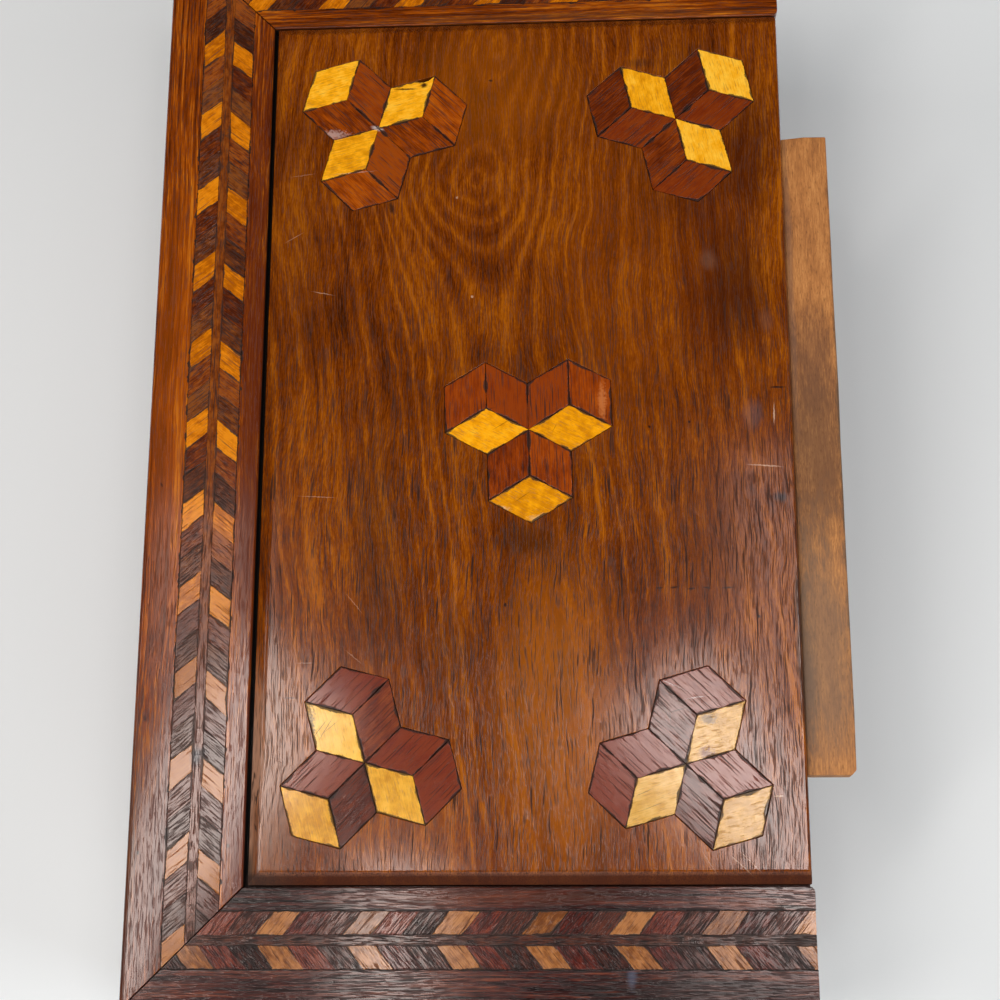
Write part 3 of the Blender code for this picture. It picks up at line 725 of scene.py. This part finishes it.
# %% Slip materials
# Satinwood: a hard yellow wood with a fine, even texture. Waxed, it is the brightest thing on the lid.
def satinwood(name, codes):
    material = new_wood(name)
    tree = material.node_tree
    place = slip_place(tree)
    tone = put(tree, "Attribute", attribute_name="tone").outputs[2]
    streaks = drawn_out(tree, place, 0.35, 5.0, detail=3.0, roughness=0.7)
    mottle = drawn_out(tree, place, 3.0, 3.6, detail=4.0, roughness=0.6)
    value = weigh(tree, (streaks, 0.9), (mottle, 1.2), (tone, 0.5), start=-0.80)
    colour = put(tree, "ValToRGB", {0: value}, stops=list(zip((0.15, 0.5, 0.85), codes)))
    pores = pore_mask(tree, place, width=0.22, length=1.4, share=0.38)
    colour = cover(tree, colour, "#8a5410", weigh(tree, (pores, 0.4)))
    return material, tree, colour, pores, streaks


# Rosewood: heavy and red-brown with open black pores.
def rosewood(name, codes, redder, pore_share):
    material = new_wood(name)
    tree = material.node_tree
    place = slip_place(tree)
    tone = put(tree, "Attribute", attribute_name="tone").outputs[2]
    streaks = drawn_out(tree, place, 0.34, 7.0, detail=3.0, roughness=0.75)
    mottle = drawn_out(tree, place, 2.6, 6.0, detail=3.0)
    value = weigh(tree, (streaks, 1.2), (mottle, 0.9), (tone, 0.6), start=-0.80)
    colour = put(tree, "ValToRGB", {0: value}, stops=list(zip((0.2, 0.5, 0.8), codes)))
    colour = cover(tree, colour, redder, fade(tree, tone, 0.45, 0.70, 0.0, 0.55))
    pores = pore_mask(tree, place, width=0.26, length=5.5, share=pore_share)
    colour = cover(tree, colour, "#1c0a06", weigh(tree, (pores, 0.75)))
    return material, tree, colour, pores, streaks


def stain_edges(tree, colour, code, bias=0.0, strength=0.85):
    """Glue and old wax darken a slip's rim, hardly where the joint is tight and most where it is open.

    The map called rim is 0 on an edge. The noise is laid over the whole box, so both sides of a joint
    swell together."""
    rim = put(tree, "Attribute", attribute_name="rim").outputs[2]
    place = board_place(tree)
    rough = drawn_out(tree, place, 0.6, 0.6, detail=2.0, roughness=0.7)
    swell = drawn_out(tree, place, 4.5, 4.5, detail=1.0)
    depth = weigh(tree, (rough, -0.7), (swell, -1.9), (rim, 1.0), start=1.18 - bias)
    mask = fade(tree, depth, 0.10, -0.08, 0.0, strength)
    glue = cover(tree, paint(code), "#191614", fade(tree, swell, 0.56, 0.68))
    return cover(tree, colour, glue, mask), mask


SLIP_TONES = {
    # group: pale tones and dark tones
    "far_left": (("#d08808", "#f8b018", "#ffca44"), ("#602404", "#984406", "#b65e10")),
    "far_right": (("#d08808", "#f4ac16", "#ffc840"), ("#541e06", "#7c340a", "#984a12")),
    "centre": (("#cc8204", "#f6a80a", "#ffc226"), ("#5a1e04", "#8c3a06", "#aa500e")),
    "near_left": (("#c08418", "#e6ac32", "#f8c452"), ("#46180c", "#6e2c12", "#8a4420")),
    "near_right": (("#b08020", "#d0a044", "#e4ba66"), ("#4a1e14", "#723624", "#8c4e38")),
}
# Wear and repairs on single slips: rows of spots, then rows for marks, of dark and of pale lines
SLIP_PATCHES = {
    "far_left": ((-37.5, 83.9, 5.0, 1.6, "#c9b0a8", 0.55), (-20.4, 99.2, 1.6, 1.0, "#e8c890", 0.50)),
    "centre": ((8.2, -22.6, 3.4, 1.2, "#e6c9a0", 0.60), (18.4, -25.0, 3.0, 1.0, "#e0bd88", 0.50),
               (35.2, 6.0, 1.3, 6.0, "#c67840", 0.70)),
    "near_left": ((-39.0, -78.0, 1.7, 6.0, "#4f4a3c", 0.85),),
    "near_right": ((60.4, -76.9, 2.5, 1.7, "#5a4a30", 0.80), (59.6, -85.4, 2.2, 2.0, "#6e4230", 0.90),
                   (74.2, -99.5, 1.4, 3.0, "#8c7a5e", 0.80), (52.0, -74.8, 5.0, 4.0, "#8a6a62", 0.35)),
}
SLIP_LINES = {
    "far_left": ((-21.5, 97.2, -13.8, 97.1, 0.35, 0.85), (-12.7, 98.1, -12.1, 98.3, 1.0, 0.95)),
    "far_right": ((61.0, 97.0, 66.0, 93.5, 0.14, 0.5),),
    "centre": ((6.0, -1.6, 12.0, 2.0, 0.16, 0.5), (4.5, 4.4, 8.0, 5.0, 0.16, 0.5),
               (12.0, -21.0, 17.0, -17.5, 0.16, 0.5), (22.0, -2.6, 23.5, 0.6, 0.16, 0.4)),
    "near_left": ((-38.3, -81.3, -34.2, -75.8, 0.16, 0.6), (-37.0, -82.3, -32.5, -74.8, 0.16, 0.6),
                  (-36.2, -80.4, -31.0, -76.0, 0.14, 0.5)),
    "near_right": ((48.2, -71.6, 52.0, -78.9, 0.22, 0.8), (50.1, -75.4, 55.6, -73.9, 0.22, 0.8),
                   (49.1, -77.9, 53.9, -79.9, 0.20, 0.7), (50.9, -73.4, 51.0, -78.9, 0.20, 0.8),
                   (41.5, -96.0, 47.0, -93.6, 0.16, 0.5), (43.0, -99.4, 50.0, -96.8, 0.16, 0.5)),
}
SLIP_WEAR = {
    "far_left": ((-26.5, 86.0, -23.5, 85.0, 0.8, 0.85), (-38.0, 72.0, -24.0, 73.0, 0.16, 0.45)),
    "near_right": ((54.0, -72.0, 61.0, -71.0, 0.18, 0.45), (46.6, -66.0, 57.0, -70.6, 0.16, 0.40)),
}


def wear_slip(tree, colour, group):
    """Adds the group's own patches, dark lines and pale lines."""
    place = board_place(tree)
    patchy = drawn_out(tree, place, 0.7, 0.7)
    unsteady = pushed(tree, place, patchy, 0.6, 0.6, 0.0)
    ragged = weigh(tree, (patchy, 1.6), start=-0.8)
    colour = paint_spots(tree, unsteady, colour, SLIP_PATCHES.get(group, ()), ragged)
    if group in SLIP_LINES:
        colour = cover(tree, colour, "#2c1408", marks(tree, unsteady, SLIP_LINES[group]))
    if group in SLIP_WEAR:
        colour = cover(tree, colour, "#c4b8b4", marks(tree, unsteady, SLIP_WEAR[group]))
    return colour


slip_woods = {}
for group, (pale_codes, dark_codes) in SLIP_TONES.items():
    near = group.startswith("near")
    material, tree, colour, pores, streaks = satinwood(f"waxed_satinwood_{group}", pale_codes)
    colour = wear_slip(tree, colour, group)
    colour, glue = stain_edges(tree, colour, "#4a2c0c", bias=0.06 if near else -0.04)
    pores = weigh(tree, (pores, 0.6), (glue, 1.0))
    slip_woods[group, "light"] = finish_wood(material, colour, pores, streaks, depth=0.00001)
    redder = "#6a2018" if near else "#6a200a"
    material, tree, colour, pores, streaks = rosewood(f"waxed_rosewood_{group}", dark_codes, redder,
                                                      pore_share=0.38 if near else 0.42)
    colour = wear_slip(tree, colour, group)
    colour, glue = stain_edges(tree, colour, "#1a0c08", bias=0.06 if near else 0.0)
    pores = weigh(tree, (pores, 1.0), (glue, 1.0))
    slip_woods[group, "dark"] = finish_wood(material, colour, pores, streaks, depth=0.00003)
print("slip materials", len(slip_woods))

# %% [markdown]
# The outline of a slip starts as a rhombus. Each side gets a few points between its corners, pushed
# inwards by a fraction of a millimetre, and a broken edge is one place where they are pushed in more.

# %% Slips
EDGE_POINTS = 7
CHAMFER = 0.00007
SLIP_GAP = 0.00005
SLIP_SIDE = CUBE_SIDE - SLIP_GAP / sin(radians(60))
# How much a side's points wander, how far the corners are worn in, and how deep a slip may lie
EDGE_WANDER = 0.00005
CORNER_WEAR = 0.00003
SLIP_SUNK = 0.00004
# How far a slip's outer sides stand out
SWELL = 0.00010
# Share along the outline, half length in shares, and depth in metres, for the two broken slips
BROKEN = {
    "inlay_far_left_cube_1_light": ((0.80, 0.030, 0.0013), (0.83, 0.015, 0.0006)),
    "inlay_near_right_cube_3_light": ((0.12, 0.03, 0.0007), (0.16, 0.02, 0.0005)),
}


def new_shape():
    """An empty shape with the three layers that the woods of slips read."""
    shape = bmesh.new()
    shape.loops.layers.uv.new("grain")
    shape.faces.layers.float.new("tone")
    shape.verts.layers.float.new("rim")
    return shape


def lay_grain(shape, faces, along, chooser):
    """Lays the grain of one slip along a direction, from a random place in the wood, with one tone."""
    grain = shape.loops.layers.uv["grain"]
    tone = shape.faces.layers.float["tone"]
    across = Vector((-along.y, along.x))
    start = Vector((chooser.uniform(0, 400), chooser.uniform(0, 400)))
    slip_tone = chooser.random()
    for face in faces:
        face[tone] = slip_tone
        for loop in face.loops:
            flat = Vector(loop.vert.co[:2])
            loop[grain].uv = (flat.dot(along) * MM + start.x,
                              flat.dot(across) * MM + loop.vert.co.z * MM + start.y)


def as_mesh(shape, name):
    """Turns a finished shape into a mesh."""
    mesh = bpy.data.meshes.new(name)
    shape.to_mesh(mesh)
    shape.free()
    return mesh


def rhombus_outline(chooser, breaks, swell):
    """Points of an uneven rhombus round (0, 0), with its short diagonal along x.

    swell is how far each side stands out, so that the outer ones nearly fill the pocket."""
    half_short = SLIP_SIDE / 2
    half_long = SLIP_SIDE * cos(radians(30))
    corners = [Vector((half_short, 0)), Vector((0, half_long)), Vector((-half_short, 0)),
               Vector((0, -half_long))]
    points = []
    for number in range(4):
        start, end = corners[number], corners[(number + 1) % 4]
        inward = Vector((-(end - start).y, (end - start).x)).normalized()
        for step in range(EDGE_POINTS):
            share = step / EDGE_POINTS
            push = (abs(chooser.gauss(0, EDGE_WANDER)) if step else CORNER_WEAR) - swell[number]
            round_share = (number + share) / 4
            for middle, reach, depth in breaks:
                push += depth * max(0.0, 1 - abs(round_share - middle) / reach) ** 0.6
            points.append(start.lerp(end, share) + inward * push)
    return points


def loft_slip(name, outline, high, turn, middle, grain_turn, chooser):
    """A closed slip up to a height, with its grain map, its tone and its rim distance."""
    shape = new_shape()
    rim = shape.verts.layers.float["rim"]
    centre = sum(outline, Vector((0, 0))) / len(outline)
    rings = []
    for height, inset in ((LID_TOP - INLAY_THICKNESS, 0.0), (high - CHAMFER, 0.0), (high, CHAMFER)):
        ring = [p + (centre - p).normalized() * inset for p in outline]
        rings.append([shape.verts.new((*p, height)) for p in ring])
    count = len(outline)
    for lower, upper in zip(rings, rings[1:]):
        for i in range(count):
            j = (i + 1) % count
            shape.faces.new((lower[i], lower[j], upper[j], upper[i]))
    shape.faces.new(rings[0][::-1])
    middle_vertex = shape.verts.new((*centre, high))
    for i in range(count):
        shape.faces.new((rings[-1][i], rings[-1][(i + 1) % count], middle_vertex))
    middle_vertex[rim] = SLIP_SIDE * MM * sin(radians(60)) / 2
    lay_grain(shape, shape.faces, Vector((cos(grain_turn), sin(grain_turn))), chooser)
    shape.transform(Matrix.Translation(middle) @ Matrix.Rotation(turn, 4, "Z"))
    bmesh.ops.recalc_face_normals(shape, faces=shape.faces)
    return as_mesh(shape, name)


chooser = random.Random(31)
made = 0
for group, (side_x, side_y, turn, drift_x, drift_y) in GROUPS.items():
    middle = Vector((FIELD_CENTRE_X + side_x * (FIELD_HALF_WIDTH - GROUP_INSETS[0]) + drift_x,
                     side_y * (FIELD_HALF_LENGTH - GROUP_INSETS[1]) + drift_y))
    for cube, direction in enumerate(CUBE_HEADINGS, start=1):
        aim = radians(direction + turn)
        cube_middle = middle + Vector((cos(aim), sin(aim))) * CUBE_SIDE
        for face, heading, grain_turn in FACES:
            name = f"inlay_{group}_cube_{cube}_{face}"
            aim = radians(heading + turn)
            slip_middle = cube_middle + Vector((cos(aim), sin(aim))) * CUBE_SIDE / 2
            shared = (direction + 180) % 360
            swell = [0.0 if (heading + 60) % 360 == shared else SWELL, 0.0, 0.0,
                     0.0 if (heading - 60) % 360 == shared else SWELL]
            outline = rhombus_outline(chooser, BROKEN.get(name, ()), swell)
            high = LID_TOP - chooser.uniform(0.0, SLIP_SUNK)
            mesh = loft_slip(f"slip_{name}", outline, high, aim, (*slip_middle, 0.0),
                             radians(grain_turn), chooser)
            wood = "light" if face == "light" else "dark"
            slip = add_piece(f"slip_{name}", mesh, slip_woods[group, wood])
            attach(slip, "lid")
            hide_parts(name)
            made += 1
print("slips made", made)

# %% [markdown]
# ## Herringbone banding
# Two rows of slanted slips lean away from a plain string. In each row one pale slip follows two dark
# ones, a porous black one and a redder one. The real banding is glued up from sawn sticks, so its
# joints are tight but not equal. Every joint is a slanted line whose two ends are drawn once, with a
# little chance in them, and the slips fill the places between, so that neighbours always fit.

# %% Banding materials
# Rows of spots: an ink spot on the left rail's string
BANDING_STAINS = ((-68.1, -85.6, 1.7, 3.2, "#0c1626", 0.95), (-66.4, -84.4, 1.6, 1.6, "#20202c", 0.60))


def banding_wood(name, codes, share, dark, relief=0.00003, bias=0.0, rim_strength=0.60, worn=None):
    """One of the banding's woods. worn is the duller colour that it takes on towards the near end."""
    material = new_wood(name)
    tree = material.node_tree
    place = slip_place(tree)
    tone = put(tree, "Attribute", attribute_name="tone").outputs[2]
    streaks = drawn_out(tree, place, 0.36, 6.0, detail=3.0, roughness=0.75)
    mottle = drawn_out(tree, place, 1.8, 3.0, detail=3.0, roughness=0.65)
    value = weigh(tree, (streaks, 1.4), (mottle, 1.5), (tone, 0.5), start=-1.20)
    colour = put(tree, "ValToRGB", {0: value}, stops=list(zip((0.2, 0.5, 0.8), codes)))
    if worn:
        where = board_place(tree)
        nearness = put(tree, "SeparateXYZ", {0: where}).outputs[1]
        colour = cover(tree, colour, worn, fade(tree, nearness, -22.0, -80.0, 0.0, 0.80))
        colour = paint_spots(tree, where, colour, BANDING_STAINS, 0.0)
    pores = pore_mask(tree, place, width=0.28, length=4.0, share=share)
    colour = cover(tree, colour, dark, weigh(tree, (pores, 0.85)))
    colour, glue = stain_edges(tree, colour, "#1a0f0b", bias=bias, strength=rim_strength)
    return finish_wood(material, colour, weigh(tree, (pores, 1.0), (glue, 0.8)), streaks, depth=relief)


# Pale, black and red slips, then the string
BAND_WOODS = (
    banding_wood("waxed_satinwood_banding", ("#a45804", "#cc7608", "#de8a14"), 0.34, "#7a3e06",
                 0.000015, rim_strength=0.85, worn="#865016"),
    banding_wood("waxed_wenge_banding", ("#3a1a0c", "#602e12", "#80481c"), 0.48, "#200e0a",
                 worn="#381c18"),
    banding_wood("waxed_rosewood_banding", ("#451a08", "#6e300e", "#904c18"), 0.46, "#240e08",
                 worn="#4a2018"),
    banding_wood("waxed_walnut_string", ("#50240a", "#743810", "#8c4c18"), 0.44, "#2e1408",
                 worn="#5e3022"),
)
NEAR_WOODS = (
    banding_wood("waxed_satinwood_banding_near", ("#6a3c1c", "#8e5a30", "#ac7444"), 0.40, "#4e2608",
                 0.00002, 0.05, 0.85),
    banding_wood("waxed_wenge_banding_near", ("#1e0c0b", "#40201a", "#5e3226"), 0.52, "#0a0606",
                 0.00004, 0.1),
    banding_wood("waxed_rosewood_banding_near", ("#34120e", "#5a221a", "#783826"), 0.50, "#0e0605",
                 0.00004, 0.1),
    banding_wood("waxed_walnut_string_near", ("#22100e", "#3e2019", "#5a3224"), 0.50, "#0e0706",
                 0.00003, 0.1),
)
print("banding materials made")

# %% Banding slips
RAILS = {
    # outer edge, two ends, which ends are mitred, turn, pitch and the pale slips' points
    "left": (BOX_DEPTH / 2, -BOX_LENGTH / 2, BOX_LENGTH / 2, (True, True), pi / 2, 0.0074,
             (0.0069, 0.0032)),
    "far": (BOX_LENGTH / 2, -BOX_DEPTH / 2, BOX_DEPTH / 2, (True, False), 0.0, 0.00725,
            (0.0131, 0.0122)),
    "near": (BOX_LENGTH / 2, -BOX_DEPTH / 2, BOX_DEPTH / 2, (False, True), pi, 0.00725,
             (0.0075, 0.0084)),
}
SLANT = tan(radians(39.0))
STRING_WIDTH = 0.0025
SIDE_GAP = 0.00006
JOINT = 0.00003
BED_HEIGHT = FRAME_TOP - 0.0015
# How much the joints wander, how deep a slip may lie, and how far the square ends are sawn back
HAND = 0.00022
BANDING_SUNK = 0.00003
END_TRIM = 0.0001


def add_prism(shape, corners, low, high, along, material_index, chooser):
    """One slip: a closed prism on four corners, with its grain map, its tone and its rim distance."""
    rim = shape.verts.layers.float["rim"]
    bottom = [shape.verts.new((*c, low)) for c in corners]
    top = [shape.verts.new((*c, high)) for c in corners]
    middle_vertex = shape.verts.new((*(sum(corners, Vector((0, 0))) / 4), high))
    shorter = min((corners[0] - corners[1]).length, (corners[1] - corners[2]).length)
    middle_vertex[rim] = shorter / 2 * MM
    faces = [shape.faces.new(bottom[::-1])]
    for i in range(4):
        j = (i + 1) % 4
        faces.append(shape.faces.new((bottom[i], bottom[j], top[j], top[i])))
        faces.append(shape.faces.new((top[i], top[j], middle_vertex)))
    for face in faces:
        face.material_index = material_index
    lay_grain(shape, faces, along, chooser)


def trim(shape, point, waste):
    """Saws the banding along a plane and closes the slips that were cut."""
    everything = shape.verts[:] + shape.edges[:] + shape.faces[:]
    bmesh.ops.bisect_plane(shape, geom=everything, dist=1e-7, plane_co=point, plane_no=waste,
                           clear_outer=True)
    bmesh.ops.holes_fill(shape, edges=[edge for edge in shape.edges if edge.is_boundary])


for side, (outer, start, end, mitred, turn, pitch, points) in RAILS.items():
    chooser = random.Random(len(side) * 7)
    middle = outer - RAIL_WIDTH + INNER_BORDER + BANDING_WIDTH / 2
    shape = new_shape()
    half_string = STRING_WIDTH / 2 - JOINT
    string = [Vector((start, middle - half_string)), Vector((end, middle - half_string)),
              Vector((end, middle + half_string)), Vector((start, middle + half_string))]
    add_prism(shape, string, BED_HEIGHT, FRAME_TOP, Vector((1, 0)), 3, chooser)
    for away, point in zip((1, -1), points):
        inside = middle + away * (STRING_WIDTH / 2 + JOINT)
        outside = middle + away * (BANDING_WIDTH / 2 - SIDE_GAP)
        lean = SLANT * abs(outside - inside)
        first = floor((start - point) / pitch) - 1
        last = ceil((end + lean - point) / pitch) + 1
        joints = {}
        for number in range(first, last + 1):
            x = point + number * pitch
            joints[number] = (x + chooser.gauss(0, HAND), x - lean + chooser.gauss(0, HAND))
        along = Vector((-SLANT, away)).normalized()
        for number in range(first + 1, last + 1):
            behind, ahead = joints[number - 1], joints[number]
            corners = [Vector((behind[0] + JOINT, inside)), Vector((ahead[0] - JOINT, inside)),
                       Vector((ahead[1] - JOINT, outside)), Vector((behind[1] + JOINT, outside))]
            if away < 0:
                corners.reverse()
            add_prism(shape, corners, BED_HEIGHT, FRAME_TOP - chooser.uniform(0, BANDING_SUNK), along,
                      number % 3, chooser)
    for tip, way in ((start, -1), (end, 1)):
        trim(shape, Vector((tip - way * END_TRIM, 0, 0)), Vector((way, 0, 0)))
    for tip, way, is_mitred in ((start, -1, mitred[0]), (end, 1, mitred[1])):
        if is_mitred:
            waste = Vector((way, -1, 0)).normalized()
            trim(shape, Vector((tip, outer, 0)) - waste * (GLUE_LINE / 2), waste)
    shape.transform(Matrix.Rotation(turn, 4, "Z"))
    bmesh.ops.recalc_face_normals(shape, faces=shape.faces)
    mesh = as_mesh(shape, f"herringbone_{side}")
    piece = add_piece(f"herringbone_{side}", mesh, *(NEAR_WOODS if side == "near" else BAND_WOODS))
    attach(piece, "box")
    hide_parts(f"banding_{side}")
    print("banding", side, "faces", len(mesh.polygons))

# %% [markdown]
# ## Pull strip
# The strip on the lid's open edge is raw beech: never stained, greyed by hands, with small flecks
# across its straight grain. It was knocked about, so its outline isn't quite true.

# %% Pull strip
beech = bpy.data.materials.new("raw_beech")
beech.use_nodes = True
tree = beech.node_tree
shader = tree.nodes["Principled BSDF"]
shader.inputs["IOR"].default_value = 1.5
place = board_place(tree)
streaks = drawn_out(tree, place, 0.38, 3.2, detail=3.0, roughness=0.75)
clouds = drawn_out(tree, place, 5.0, 16.0, detail=4.0, roughness=0.6)
flecks = fade(tree, drawn_out(tree, place, 0.35, 1.6, detail=1.0), 0.60, 0.74)
tone = weigh(tree, (streaks, 1.1), (clouds, 0.8), start=-0.45)
colour = put(tree, "ValToRGB", {0: tone}, stops=[(0.2, "#804e22"), (0.5, "#ac7036"), (0.8, "#c88c4c")])
colour = cover(tree, colour, "#6a4426", weigh(tree, (flecks, 0.5)))
# Rows of spots: two brown patches, the duller near end, and darker, greyer lines along both edges
STRIP_STAINS = (
    (90.0, -8.0, 12.0, 34.0, "#5e3c20", 0.75), (90.0, 20.0, 8.0, 16.0, "#6c4426", 0.50),
    (84.5, -64.0, 4.0, 24.0, "#54443a", 0.70), (89.0, -60.0, 12.0, 40.0, "#7c6652", 0.60),
    (96.6, 0.0, 0.9, 90.0, "#50402f", 0.80), (85.2, 40.0, 1.2, 60.0, "#7a5c4c", 0.40),
)
ragged = weigh(tree, (streaks, 0.9), (clouds, 1.2), start=-1.05)
colour = paint_spots(tree, place, colour, STRIP_STAINS, ragged)
finish_wood(beech, colour, flecks, streaks, roughness=(0.60, 0.80), depth=0.00004)

PULL_LENGTH = 0.1723
PULL_OFFSET = -0.0046
PULL_THICKNESS = 0.0052
PULL_OVERHANG = 0.0119
# How far the near corner is worn off along the end and along the edge, and how much the edge wavers
CORNER_ACROSS = 0.0014
CORNER_ALONG = 0.0012
EDGE_WAVER = 0.0002
EDGE_STEPS = 12
STRIP_RADIUS = 0.0003
left = FIELD_RIGHT + GLUE_LINE
right = BOX_DEPTH / 2 + PULL_OVERHANG
far_end = PULL_OFFSET + PULL_LENGTH / 2
near_end = PULL_OFFSET - PULL_LENGTH / 2
chooser = random.Random(5)
corner_y = near_end + CORNER_ALONG
outline = [(left, near_end), (right - CORNER_ACROSS, near_end), (right - 0.0003, corner_y)]
for step in range(1, EDGE_STEPS):
    outline.append((right - chooser.uniform(0, EDGE_WAVER),
                    corner_y + PULL_LENGTH * 0.98 * step / EDGE_STEPS))
# The far end isn't quite square
outline += [(right - 0.0002, far_end - 0.0002), ((left + right) / 2, far_end - 0.0001),
            (left, far_end - 0.0007)]
shape = bmesh.new()
bottom = [shape.verts.new((x, y, LID_UNDERSIDE)) for x, y in outline]
top = [shape.verts.new((x, y, LID_UNDERSIDE + PULL_THICKNESS)) for x, y in outline]
shape.faces.new(top)
shape.faces.new(bottom[::-1])
for i in range(len(outline)):
    j = (i + 1) % len(outline)
    shape.faces.new((bottom[i], bottom[j], top[j], top[i]))
strip = add_piece("pull_strip", as_mesh(shape, "pull_strip"), beech)
break_edges(strip, STRIP_RADIUS)
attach(strip, "lid")
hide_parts("lid_pull")
print("strip", round((right - left) * MM, 1), "by", round(PULL_LENGTH * MM, 1), "mm")
